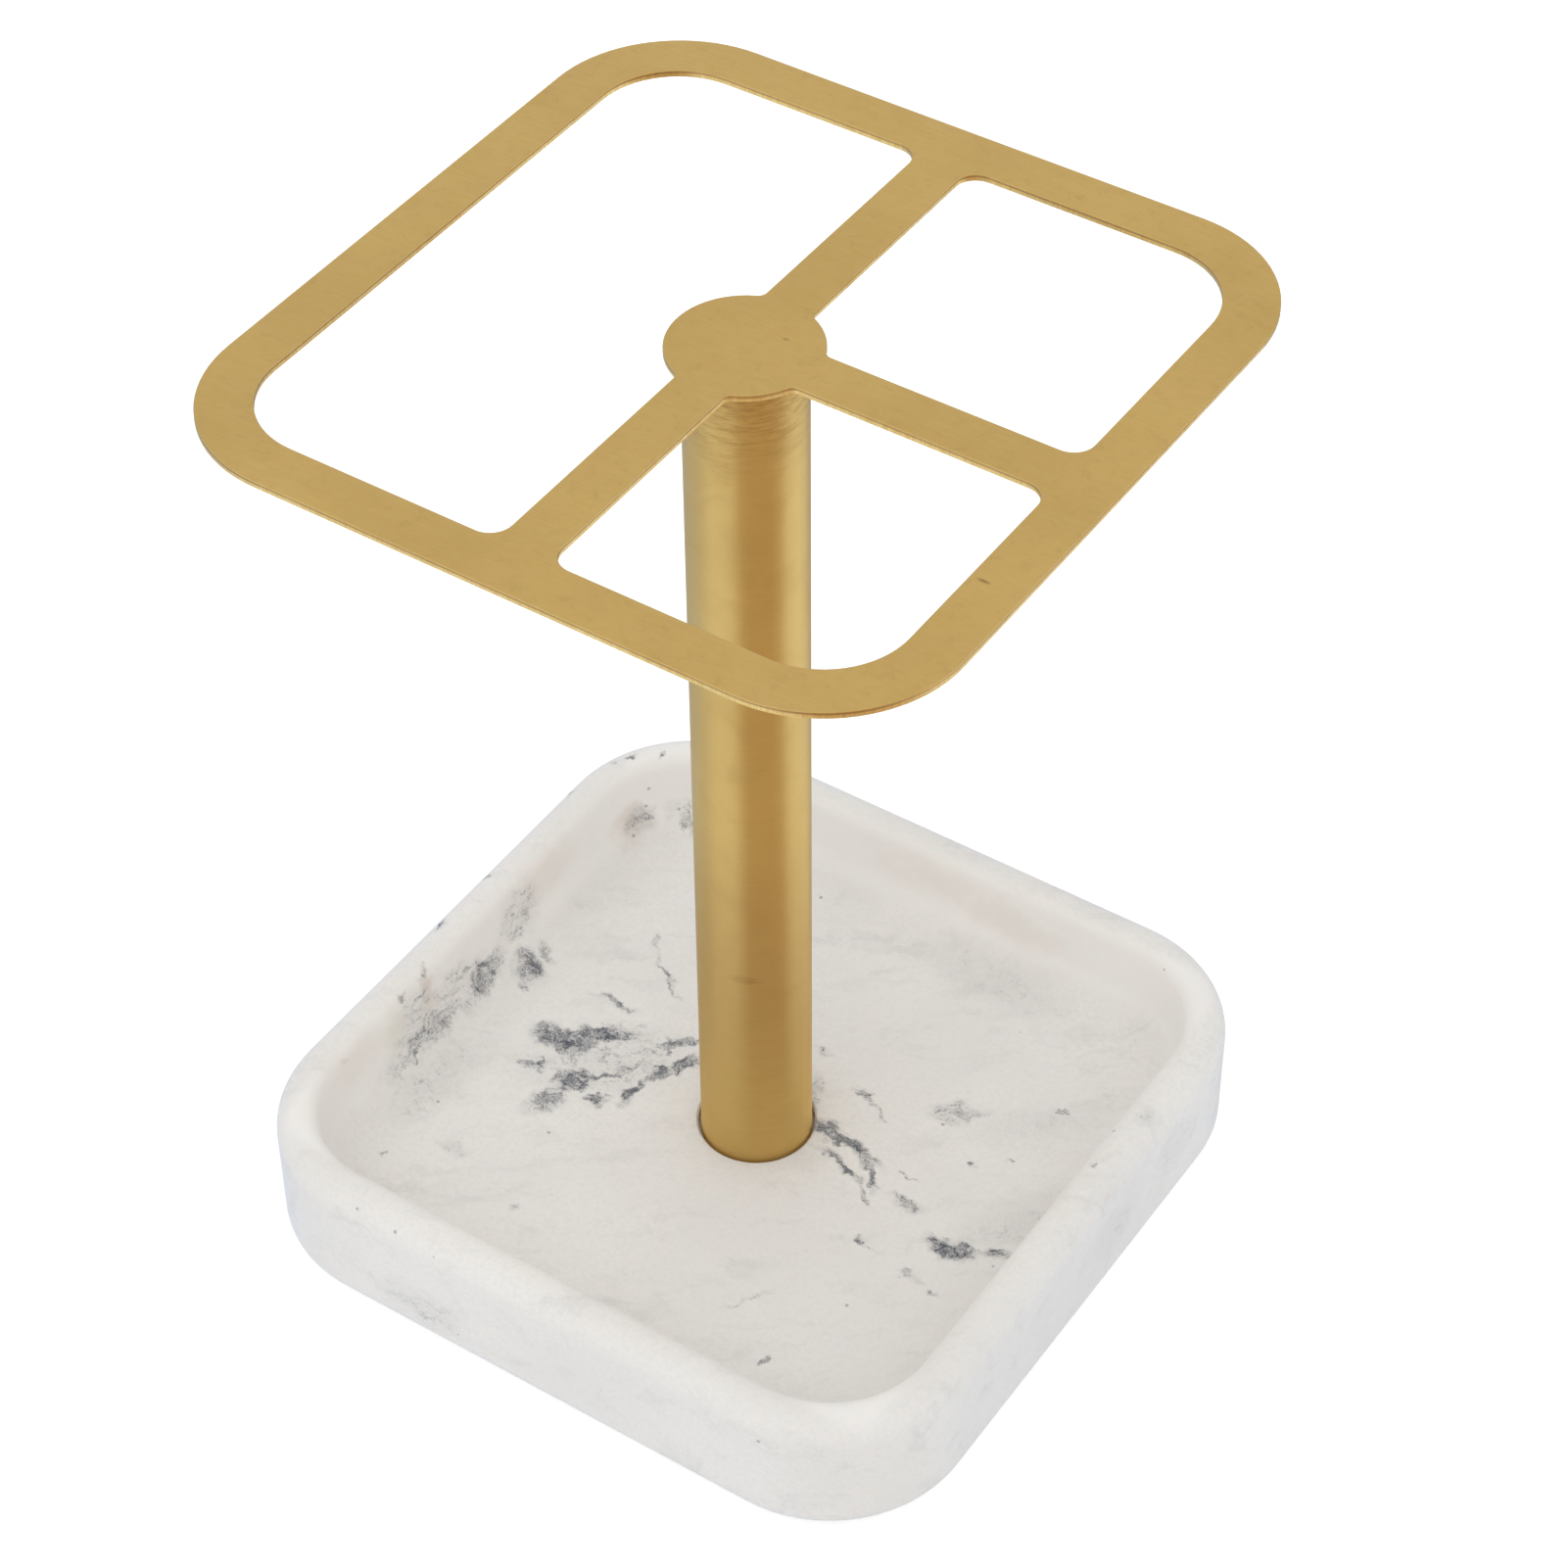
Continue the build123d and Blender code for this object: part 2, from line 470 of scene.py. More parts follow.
@dataclass(frozen=True)
class BrushedGold:
    """Gold-coloured plated metal with a brushed grain.

    Attributes:
        name: the material's name.
        run: which way it was brushed.
        lines: grain lines for each millimetre along X, Y and Z.
        scratch_lines: the same for the deeper scratches.
        roughness: the least roughness.
        anisotropy: how far the grain stretches a reflection.
        grain_depth: how deep the grain is.
    """

    name: str
    run: GrainRun
    lines: Triple
    scratch_lines: Triple
    roughness: float
    anisotropy: float
    grain_depth: float
    gold: Colour = (0.690, 0.455, 0.138)
    pale: Colour = (0.800, 0.568, 0.218)
    deep: Colour = (0.46, 0.27, 0.075)
    heat_tint_and_shade: Colour = (0.38, 0.20, 0.07)
    grain_band: Band = (0.32, 0.68)
    pale_share: float = 0.6
    scratch_share: float = 0.35
    cloud_size: float = 26.0
    cloud_band: Band = (0.35, 0.7)
    cloud_share: float = 0.16
    grain_roughness: float = 0.1
    wipe_roughness: float = 0.05
    quarter_turn: float = 0.25

    def make(self) -> bpy.types.Material:
        """Builds the finish.

        Returns:
            The material.
        """
        material, bench, shader = new_material(self.name)
        place = bench.place()
        straight = self.run is GrainRun.STRAIGHT
        grain = bench.group(
            BrushedGrain.tree(), Place=place, Lines=self.lines, Scratch_lines=self.scratch_lines
        )
        patina = bench.group(Patina.tree(), Place=place, Patch_size=self.cloud_size)
        shade = bench.remap(grain.outputs["Shade"], *self.grain_band, smooth=False)
        colour = bench.mix(bench.times(shade, self.pale_share), self.gold, self.pale)
        scratched = bench.times(grain.outputs["Scratches"], self.scratch_share)
        colour = bench.mix(scratched, colour, self.deep)
        clouded = bench.remap(patina.outputs["Cloud"], *self.cloud_band, 0.0, self.cloud_share)
        colour = bench.mix(clouded, colour, self.deep)
        rough = bench.plus(self.roughness, bench.times(shade, self.grain_roughness))
        rough = bench.plus(rough, bench.times(patina.outputs["Wipes"], self.wipe_roughness))
        colour, rough = self.marked(bench, place, colour, rough)
        tangent = bench.node("ShaderNodeTangent", direction_type="RADIAL", axis="X" if straight else "Z")
        bench.fill(
            shader,
            Base_Color=colour,
            Roughness=rough,
            Metallic=1.0,
            Anisotropic=self.anisotropy,
            Anisotropic_Rotation=0.0 if straight else self.quarter_turn,
            Tangent=tangent.outputs[0],
        )
        add_bump(bench, shader, grain.outputs["Height"], self.grain_depth)
        return material

    def marked(self, bench: Bench, place: Value, colour: Value, rough: Value) -> tuple[Value, Value]:
        """Leaves the colour and roughness alone; a piece with marks of its own adds them here."""
        return colour, rough


@dataclass(frozen=True)
class BrushedPlate(BrushedGold):
    """The rack's finish: brushed along X, with laser-cut sides painted paler as a painted edge highlight, a
    darker band along their tops, and a few stains and dents.
    """

    name: str = "brushed_plate_finish"
    run: GrainRun = GrainRun.STRAIGHT
    lines: Triple = (0.55, 7.0, 7.0)
    scratch_lines: Triple = (0.30, 3.4, 3.4)
    roughness: float = 0.36
    anisotropy: float = 0.8
    grain_depth: float = 0.007
    cut_glint_pale: Colour = (0.80, 0.58, 0.23)
    dent_brown: Colour = (0.20, 0.12, 0.05)
    side_slope: Band = (0.5, 0.15)
    striae: Triple = (4.0, 4.0, 0.3)
    striae_band: Band = (0.35, 0.65)
    cut_share: float = 0.85
    dark_band_below_top: Band = (0.5, 0.3)
    dark_band_share: float = 0.75
    stain_scale: float = 0.55
    stain_band: Band = (0.5, 0.74)
    stain_share: float = 0.16
    side_roughness: float = 0.12

    def marked(self, bench: Bench, place: Value, colour: Value, rough: Value) -> tuple[Value, Value]:
        """Paints the laser-cut sides paler as a painted edge highlight over their cutting striae, and adds a
        darker band along their tops, stains and two small dents.

        Args:
            bench: the material's bench.
            place: the object's coordinates.
            colour: the colour so far.
            rough: the roughness so far.

        Returns:
            The marked colour and roughness.
        """
        geometry = bench.node("ShaderNodeNewGeometry")
        upright = bench.split(geometry.outputs["True Normal"])[2]
        side = bench.remap(bench.maths("ABSOLUTE", upright), *self.side_slope)
        striae = bench.noise(bench.vector("MULTIPLY", place, self.striae), roughness=0.6)
        # Painted highlight: the cut sides are painted paler, standing in for the glint along the plate's
        # edges, over real cutting striae.
        cut_and_glint = bench.mix(bench.remap(striae, *self.striae_band), self.gold, self.cut_glint_pale)
        colour = bench.mix(bench.times(side, self.cut_share), colour, cut_and_glint)
        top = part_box("rack_plate")[1].z / MM
        # A darker band along the top of each cut side.
        dark_band_low, dark_band_high = (top - below for below in self.dark_band_below_top)
        dark_band = bench.remap(bench.split(place)[2], dark_band_low, dark_band_high, 0.0, self.dark_band_share)
        colour = bench.mix(bench.times(side, dark_band), colour, self.heat_tint_and_shade)
        stains = bench.noise(place, self.stain_scale, detail=6.0, roughness=0.7, distortion=0.5)
        stained = bench.remap(stains, *self.stain_band, 0.0, self.stain_share)
        colour = bench.mix(stained, colour, self.heat_tint_and_shade)
        dents = (
            Spot((47.2, -21.5, top), (1.0, 0.32, 2.0), strength=0.6),
            Spot((3.6, 3.6, top), (0.6, 0.3, 2.0), strength=0.36),
        )
        colour = bench.mix(lay_spots(bench, place, dents), colour, self.dent_brown)
        rough = bench.plus(rough, bench.times(side, self.side_roughness))
        return colour, rough


@dataclass(frozen=True)
class SatinTube(BrushedGold):
    """The post's finish: brushed round, with coarse brown marks under the hub and painted shade on its lower
    half.
    """

    name: str = "satin_tube_finish"
    run: GrainRun = GrainRun.ROUND
    lines: Triple = (0.40, 0.40, 5.6)
    scratch_lines: Triple = (0.24, 0.24, 3.2)
    roughness: float = 0.49
    anisotropy: float = 0.92
    grain_depth: float = 0.005
    marks_below_top: Band = (17.0, 2.0)
    strokes: Triple = (0.34, 0.34, 2.6)
    stroke_band: Band = (0.4, 0.66)
    mark_share: float = 0.3
    mark_roughness: float = 0.1
    painted_shade_heights: Band = (76.0, 32.0)
    painted_shade_share: float = 0.32
    foot_heights: Band = (4.0, 34.0)
    foot_share: float = 0.2
    smudge: Spot = Spot((3.3, -7.3, 45.5), (2.6, 2.6, 1.1), strength=0.5)

    def marked(self, bench: Bench, place: Value, colour: Value, rough: Value) -> tuple[Value, Value]:
        """Adds the brush marks under the hub, a smudge and painted shade that darkens the lower half.

        Args:
            bench: the material's bench.
            place: the object's coordinates.
            colour: the colour so far.
            rough: the roughness so far.

        Returns:
            The marked colour and roughness.
        """
        foot, top = (corner.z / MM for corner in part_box("post_tube"))
        height = bench.split(place)[2]
        marks_low, marks_high = (top - below for below in self.marks_below_top)
        near_top = bench.remap(height, marks_low, marks_high)
        stroke_place = bench.vector("MULTIPLY", place, self.strokes)
        stroke_field = bench.noise(stroke_place, detail=5.0, roughness=0.7, distortion=0.3)
        strokes = bench.remap(stroke_field, *self.stroke_band)
        marks = bench.times(near_top, strokes)
        colour = bench.mix(bench.times(marks, self.mark_share), colour, self.heat_tint_and_shade)
        smudged = bench.times(lay_spots(bench, place, (self.smudge,)), strokes)
        colour = bench.mix(smudged, colour, self.heat_tint_and_shade)
        # Painted shade: the lower half is darkened towards the bottom in the heat-tint colour, easing off
        # near the foot.
        shade_top, shade_bottom = (foot + above for above in self.painted_shade_heights)
        painted_shade_mask = bench.remap(height, shade_top, shade_bottom, 0.0, self.painted_shade_share)
        foot_low, foot_high = (foot + above for above in self.foot_heights)
        above_foot = bench.remap(height, foot_low, foot_high, self.foot_share, 1.0)
        colour = bench.mix(bench.times(painted_shade_mask, above_foot), colour, self.heat_tint_and_shade)
        rough = bench.plus(rough, bench.times(marks, self.mark_roughness))
        return colour, rough


# ---- Marble-look resin ----


def on_floor(
    x: float, y: float, along: float, across: float, turn: float = 0.0, strength: float = 1.0
) -> Spot:
    """A spot on the dish's floor.

    Args:
        x: its middle along X.
        y: its middle along Y.
        along: half its length.
        across: half its width.
        turn: how far it is turned from +X, in degrees.
        strength: how dark it is.

    Returns:
        The spot.
    """
    spot_height, spot_depth = 9.0, 4.0
    return Spot((x, y, spot_height), (along, across, spot_depth), turn, strength)


# Where the poured veins and stains lie in the dish, in the order they are laid; the two broad faint spots
# near the back and left walls are painted shade.
LEFT_OF_POST = (
    on_floor(-32.2, -2.8, 5.6, 3.4, 14.0, 1.0),
    on_floor(-27.6, 1.2, 6.2, 2.2, 30.0, 1.0),
    on_floor(-30.4, 7.4, 4.6, 1.1, 8.0, 0.62),
    on_floor(-24.0, 5.8, 1.4, 0.8, 20.0, 0.5),
    on_floor(-17.6, 5.9, 4.8, 1.2, 36.0, 0.84),
    on_floor(-14.4, 2.8, 3.8, 1.7, 52.0, 0.9),
    on_floor(-16.4, -0.6, 4.2, 1.4, 66.0, 0.95),
    on_floor(-17.9, -6.0, 3.2, 1.4, 86.0, 0.9),
    on_floor(-26.8, -8.8, 4.2, 2.8, 48.0, 0.84),
    on_floor(-22.6, -4.6, 7.8, 1.2, 48.0, 0.82),
    on_floor(-20.0, 1.6, 3.2, 0.9, 40.0, 0.6),
    on_floor(-27.4, -13.6, 4.4, 2.8, 68.0, 0.58),
    on_floor(-21.8, -9.8, 2.6, 1.4, 42.0, 0.88),
    on_floor(-33.0, -9.2, 2.4, 1.6, 20.0, 0.74),
    on_floor(-26.5, 15.9, 6.4, 0.7, -32.0, 0.6),
    on_floor(-31.6, 21.0, 3.0, 0.5, -62.0, 0.45),
    on_floor(-25.0, -3.0, 15.0, 9.0, 38.0, 0.36),
)
RIGHT_OF_POST = (
    on_floor(9.8, 3.9, 3.0, 2.1, -20.0, 0.95),
    on_floor(14.4, 2.6, 6.4, 1.15, -8.0, 1.0),
    on_floor(19.6, -0.2, 3.8, 0.85, -42.0, 0.84),
    on_floor(15.2, -1.0, 6.4, 1.0, -20.0, 0.76),
    on_floor(20.8, -3.8, 2.6, 0.9, -38.0, 0.66),
    on_floor(26.6, -1.8, 3.0, 1.1, 5.0, 0.78),
    on_floor(24.6, 2.8, 1.4, 0.5, -20.0, 0.5),
    on_floor(10.6, 12.3, 2.4, 1.0, -10.0, 0.84),
    on_floor(14.0, 10.6, 3.0, 0.6, -24.0, 0.55),
    on_floor(4.0, 8.6, 4.6, 1.4, -70.0, 0.6),
    on_floor(1.8, 16.0, 1.5, 1.0, 0.0, 0.6),
    # Painted shade: a broad faint grey spot on the floor in front of the back wall.
    on_floor(14.0, 42.0, 17.0, 5.0, 0.0, 0.2),
    on_floor(24.0, 16.6, 5.4, 2.4, 34.0, 0.5),
    on_floor(30.2, 9.0, 1.1, 0.7, 0.0, 0.78),
    on_floor(35.2, 13.0, 1.2, 0.6, 10.0, 0.66),
    on_floor(33.6, 20.0, 11.0, 4.0, 40.0, 0.2),
    on_floor(36.6, 25.2, 1.1, 0.7, 0.0, 0.45),
    on_floor(36.4, -5.6, 4.4, 2.1, 12.0, 1.0),
    on_floor(42.2, -3.0, 4.2, 1.3, 24.0, 0.92),
    on_floor(41.6, 4.0, 13.0, 5.0, 62.0, 0.22),
    on_floor(25.0, -11.2, 1.4, 0.9, 0.0, 0.8),
    on_floor(27.0, -11.6, 1.8, 0.4, 0.0, 0.5),
    on_floor(34.2, -13.0, 2.2, 1.1, 0.0, 0.44),
    on_floor(38.3, -13.8, 1.2, 0.7, 0.0, 0.76),
)
NEAR_FRONT = (
    on_floor(25.4, -35.8, 0.6, 1.7, 0.0, 0.8),
    on_floor(17.5, -29.0, 5.0, 0.45, 60.0, 0.35),
    on_floor(-19.0, -33.0, 1.5, 1.0, 0.0, 0.42),
    on_floor(-33.0, -28.6, 3.0, 1.5, 20.0, 0.34),
    on_floor(-40.4, -34.8, 0.6, 0.45, 0.0, 0.95),
)
LEFT_WALL = (
    Spot((-44.9, 5.8, 9.6), (3.8, 2.8, 3.0), -20.0, 0.74),
    Spot((-44.4, 9.6, 9.6), (2.6, 1.2, 3.0), -25.0, 0.62),
    Spot((-43.0, 3.2, 9.4), (1.4, 0.8, 3.0), 0.0, 0.6),
    Spot((-47.4, -1.0, 12.6), (6.4, 2.6, 3.2), 90.0, 0.86),
    Spot((-47.4, -14.0, 12.4), (14.0, 2.8, 3.2), 90.0, 0.62),
    Spot((-48.2, -7.0, 14.6), (8.0, 2.6, 4.4), 90.0, 0.42),
    Spot((-49.0, 9.0, 16.0), (6.0, 2.0, 6.0), 90.0, 0.42),
    Spot((-49.0, -15.5, 17.0), (5.0, 2.0, 5.0), 90.0, 0.42),
    Spot((-47.8, 38.0, 12.4), (3.2, 2.8, 3.4), 60.0, 0.52),
    Spot((-42.2, 43.6, 10.6), (2.6, 0.9, 4.0), -34.0, 0.62),
    Spot((-46.4, 43.4, 11.0), (5.0, 1.2, 4.0), 10.0, 0.5),
    # Painted shade: a broad faint grey spot on the floor along the left wall.
    Spot((-42.5, -19.0, 9.5), (13.0, 5.0, 4.0), 82.0, 0.26),
)
RIM = (
    Spot((52.0, 20.0, 22.0), (2.4, 2.0, 2.0), 60.0, 0.42),
    Spot((50.6, 8.6, 21.8), (1.0, 0.8, 1.0), 0.0, 0.6),
    Spot((-50.2, 40.6, 22.3), (1.5, 0.6, 1.6), 50.0, 0.85),
    Spot((-51.5, 38.2, 22.0), (1.2, 0.6, 1.6), 60.0, 0.8),
    Spot((-46.9, 44.2, 22.3), (0.8, 0.6, 1.6), 40.0, 0.75),
    Spot((-53.6, 29.5, 21.5), (1.0, 0.6, 1.6), 90.0, 0.55),
    Spot((-53.0, -3.8, 22.0), (2.1, 1.0, 1.8), 90.0, 1.0),
    Spot((-53.6, 8.2, 21.4), (1.0, 0.7, 1.8), 90.0, 0.75),
    Spot((-49.4, -13.4, 22.2), (1.6, 0.9, 1.6), 90.0, 0.95),
    Spot((-48.9, -18.0, 21.8), (1.3, 0.9, 1.6), 90.0, 0.85),
)
OUTSIDE = (
    Spot((55.0, 8.0, 12.0), (7.0, 3.0, 5.0), 90.0, 0.2),
    Spot((55.0, 24.0, 13.0), (6.0, 3.0, 6.0), 90.0, 0.22),
    Spot((-20.0, -54.0, 8.0), (8.0, 3.0, 4.0), 0.0, 0.3),
    Spot((30.0, 54.0, 11.0), (14.0, 3.0, 5.0), 0.0, 0.55),
    Spot((-12.0, 54.0, 14.0), (9.0, 3.0, 3.0), 0.0, 0.42),
    Spot((-55.0, -20.0, 10.0), (12.0, 3.0, 4.0), 90.0, 0.5),
    Spot((8.0, -22.0, 1.0), (16.0, 4.0, 3.0), 32.0, 0.6),
)
VEIN_AND_SHADE_SPOTS = LEFT_OF_POST + RIGHT_OF_POST + NEAR_FRONT + LEFT_WALL + RIM + OUTSIDE
BLUSH_SPOTS = (
    Spot((0.0, 48.6, 17.0), (13.0, 3.0, 4.5), 0.0, 0.42),
    Spot((14.0, 47.8, 15.5), (11.0, 3.0, 4.0), 0.0, 0.5),
    Spot((-48.8, 16.0, 18.0), (9.0, 3.0, 5.0), 90.0, 0.5),
    Spot((-48.8, -13.0, 18.0), (2.4, 2.2, 6.0), 90.0, 0.9),
    Spot((-48.8, -30.0, 19.0), (7.0, 3.0, 5.0), 90.0, 0.42),
    Spot((-48.8, -32.0, 20.5), (1.4, 1.6, 1.6), 90.0, 0.9),
    Spot((-47.0, 36.0, 13.0), (4.0, 3.5, 4.0), 60.0, 0.9),
)
OCHRE_SPOTS = (Spot((-48.8, -21.0, 17.0), (3.4, 2.4, 5.0), 90.0, 0.6),)


@dataclass(frozen=True)
class MarbleResin:
    """White cast resin with a satin skin, a fine grain and feathery blue-grey veins."""

    name: str = "marble_resin_finish"
    white: Colour = (0.914, 0.903, 0.888)
    shadow_white: Colour = (0.800, 0.789, 0.780)
    wall_lit_white: Colour = (0.970, 0.960, 0.950)
    vein: Colour = (0.068, 0.080, 0.114)
    wash_and_shade_grey: Colour = (0.40, 0.41, 0.43)
    blush: Colour = (0.66, 0.52, 0.42)
    ochre: Colour = (0.62, 0.58, 0.40)
    inclusion: Colour = (0.20, 0.20, 0.21)
    vein_share: float = 0.92
    wash_share: float = 0.66
    blush_share: float = 0.34
    ochre_share: float = 0.4
    cloud_size: float = 34.0
    cloud_band: Band = (0.38, 0.72)
    cloud_share: float = 0.45
    grain_scale: float = 1.5
    grain_band: Band = (0.4, 0.66)
    grain_share: float = 0.5
    drift_heading: float = -34.0
    drift_lines: Triple = (0.07, 0.24, 0.16)
    drift_band: Band = (0.49, 0.77)
    drift_share: float = 0.2
    wander_scale: float = 0.28
    wander: float = 5.0
    flutter_scale: float = 1.3
    flutter: float = 1.3
    left_fan: Triple = (-11.0, 10.0, 9.0)
    right_fan: Triple = (5.0, 5.0, 9.0)
    fan_rays: float = 12.0
    fan_lines: float = 0.34
    fan_changeover: float = 4.0
    streak_pull: float = 2.7
    grit_scale: float = 3.3
    grit_pull: float = 1.6
    spot_pull: float = 0.95
    vein_band: Band = (0.28, 1.2)
    vein_edge: Band = (0.02, 0.34)
    wash_band: Band = (0.3, 0.65)
    wash_least: float = 0.5
    rim_inset: Band = (4.0, 6.5)
    wall_heights: Band = (8.6, 12.0)
    wall_light_share: float = 0.8
    corner_blend: float = 12.0
    inclusion_scale: float = 0.3
    inclusion_pick: Band = (0.88, 0.9)
    inclusion_edge: Band = (0.11, 0.05)
    inclusion_share: float = 0.55
    roughness: float = 0.46
    wipe_roughness: float = 0.08
    gloss: float = 0.15
    gloss_tint: Colour = (1.0, 0.88, 0.74)
    glow_share: float = 0.25
    glow_spread: Triple = (1.0, 0.8, 0.65)
    glow_depth: float = 3.0
    skin_depth: float = 0.03
    wave_scale: float = 0.12
    wave_height: float = 9.0
    skin_scale: float = 4.0
    skin_height: float = 0.35

    def make(self) -> bpy.types.Material:
        """Builds the finish.

        Returns:
            The material.
        """
        material, bench, shader = new_material(self.name)
        place = bench.place()
        warped = self.warped(bench, place)
        patina = bench.group(Patina.tree(), Place=place, Patch_size=self.cloud_size)
        vein_mask, wash_and_shade = self.vein_masks(bench, place, warped)
        colour = self.cast_body(bench, place, warped, patina.outputs["Cloud"])
        # Painted light: the well's inner wall is painted paler to lift its shade.
        colour = bench.mix(self.wall_painted_light(bench, place), colour, self.wall_lit_white)
        blush = lay_spots(bench, warped, BLUSH_SPOTS)
        colour = bench.mix(bench.times(blush, self.blush_share), colour, self.blush)
        ochre = lay_spots(bench, warped, OCHRE_SPOTS)
        colour = bench.mix(bench.times(ochre, self.ochre_share), colour, self.ochre)
        colour = bench.mix(wash_and_shade, colour, self.wash_and_shade_grey)
        colour = bench.mix(bench.times(vein_mask, self.vein_share), colour, self.vein)
        colour = self.speckled(bench, place, colour)
        rougher = self.roughness + self.wipe_roughness
        rough = bench.remap(patina.outputs["Wipes"], 0.0, 1.0, self.roughness, rougher)
        bench.fill(
            shader,
            Base_Color=colour,
            Roughness=rough,
            Specular_IOR_Level=self.gloss,
            Specular_Tint=(*self.gloss_tint, 1.0),
            Subsurface_Weight=self.glow_share,
            Subsurface_Radius=self.glow_spread,
            Subsurface_Scale=self.glow_depth * MM,
        )
        waves = bench.times(bench.noise(place, self.wave_scale, detail=2.0), self.wave_height)
        skin = bench.times(bench.noise(place, self.skin_scale, roughness=0.6), self.skin_height)
        add_bump(bench, shader, bench.plus(waves, skin), self.skin_depth)
        return material

    def warped(self, bench: Bench, place: Value) -> Socket:
        """Lets the coordinates wander, so that no spot keeps a plain oval outline.

        Args:
            bench: the material's bench.
            place: the object's coordinates.

        Returns:
            The warped coordinates.
        """
        middle_grey = (0.5, 0.5, 0.5)
        wander = bench.noise(place, self.wander_scale, detail=2.0, output="Color")
        flutter = bench.noise(place, self.flutter_scale, output="Color")
        shift = bench.scaled(bench.vector("SUBTRACT", wander, middle_grey), self.wander)
        shift_fine = bench.scaled(bench.vector("SUBTRACT", flutter, middle_grey), self.flutter)
        return bench.vector("ADD", bench.vector("ADD", place, shift), shift_fine)

    def fan(self, bench: Bench, place: Value, pivot: Triple) -> Socket:
        """Streaks that spread out from a point beside the post.

        Args:
            bench: the material's bench.
            place: the warped coordinates.
            pivot: the point that they spread from.

        Returns:
            The streak pattern, from 0 to 1.
        """
        x, y, z = bench.split(bench.vector("SUBTRACT", place, pivot))
        bearing = bench.maths("ARCTAN2", y, x)
        radius = bench.vector("LENGTH", bench.join(x, y, 0.0))
        rays = bench.times(bearing, self.fan_rays)
        polar = bench.join(rays, bench.times(radius, self.fan_lines), z)
        return bench.noise(polar, detail=6.0, roughness=0.74, distortion=0.6)

    def vein_masks(self, bench: Bench, place: Value, warped: Value) -> tuple[Socket, Socket]:
        """Draws the spots out into feathery veins, and the two broad spots near the walls into painted
        shade.

        Args:
            bench: the material's bench.
            place: the object's coordinates.
            warped: the warped coordinates.

        Returns:
            The veins' dark cores, and the pale grey wash around them, which also carries the painted shade.
        """
        right = bench.remap(bench.split(place)[0], -self.fan_changeover, self.fan_changeover)
        left = bench.maths("SUBTRACT", 1.0, right)
        left_streaks = bench.times(self.fan(bench, warped, self.left_fan), left)
        right_streaks = bench.times(self.fan(bench, warped, self.right_fan), right)
        streaks = bench.plus(left_streaks, right_streaks)
        grit = bench.noise(place, self.grit_scale, detail=4.0, roughness=0.75)
        cover = lay_spots(bench, warped, VEIN_AND_SHADE_SPOTS)
        streak_pull = bench.times(bench.maths("SUBTRACT", streaks, 0.5), self.streak_pull)
        grit_pull = bench.times(bench.maths("SUBTRACT", grit, 0.5), self.grit_pull)
        pull = bench.plus(streak_pull, grit_pull)
        drawn = bench.plus(bench.times(cover, self.spot_pull), pull)
        within = bench.remap(cover, *self.vein_edge)
        cores = bench.times(bench.remap(drawn, *self.vein_band), within)
        haze_and_shade = bench.times(cover, bench.remap(streaks, *self.wash_band, self.wash_least, 1.0))
        return cores, bench.times(haze_and_shade, self.wash_share)

    def cast_body(self, bench: Bench, place: Value, warped: Value, cloud: Value) -> Socket:
        """The resin between the veins: cloudy, finely grained and faintly streaked.

        Args:
            bench: the material's bench.
            place: the object's coordinates.
            warped: the warped coordinates.
            cloud: the patina's clouds.

        Returns:
            The colour.
        """
        clouds = bench.times(bench.remap(cloud, *self.cloud_band), self.cloud_share)
        colour = bench.mix(clouds, self.white, self.shadow_white)
        grain_field = bench.noise(place, self.grain_scale, detail=4.0, roughness=0.85)
        grain = bench.remap(grain_field, *self.grain_band, 0.0, self.grain_share)
        colour = bench.mix(grain, colour, self.shadow_white)
        headed = bench.turned(warped, math.radians(self.drift_heading))
        drift_place = bench.vector("MULTIPLY", headed, self.drift_lines)
        drift_field = bench.noise(drift_place, detail=6.0, roughness=0.68, distortion=0.4)
        drift = bench.remap(drift_field, *self.drift_band, 0.0, self.drift_share)
        return bench.mix(drift, colour, self.wash_and_shade_grey)

    def wall_painted_light(self, bench: Bench, place: Value) -> Socket:
        """Finds the well's wall, which is painted paler than its floor as painted light that lifts the
        wall's shade.

        Args:
            bench: the material's bench.
            place: the object's coordinates.

        Returns:
            How far each point is on the wall, from 0 to 1.
        """
        low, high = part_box("dish_base")
        x, y, z = bench.split(place)
        inset_x = bench.maths("SUBTRACT", high.x / MM, bench.maths("ABSOLUTE", x))
        inset_y = bench.maths("SUBTRACT", high.y / MM, bench.maths("ABSOLUTE", y))
        inset = bench.maths("SMOOTH_MIN", inset_x, inset_y, self.corner_blend)
        inside_rim = bench.remap(inset, *self.rim_inset)
        floor_level, wall_level = (low.z / MM + height for height in self.wall_heights)
        above_floor = bench.remap(z, floor_level, wall_level)
        return bench.times(bench.times(inside_rim, above_floor), self.wall_light_share)

    def speckled(self, bench: Bench, place: Value, colour: Value) -> Socket:
        """Scatters a few tiny dark inclusions through the casting.

        Args:
            bench: the material's bench.
            place: the object's coordinates.
            colour: the colour so far.

        Returns:
            The colour with the inclusions.
        """
        cells = bench.node("ShaderNodeTexVoronoi")
        bench.fill(cells, Vector=place, Scale=self.inclusion_scale)
        picked = bench.remap(bench.split(cells.outputs["Color"])[0], *self.inclusion_pick)
        dot = bench.remap(cells.outputs["Distance"], *self.inclusion_edge)
        mask = bench.times(bench.times(picked, dot), self.inclusion_share)
        return bench.mix(mask, colour, self.inclusion)


# ---- Small parts ----


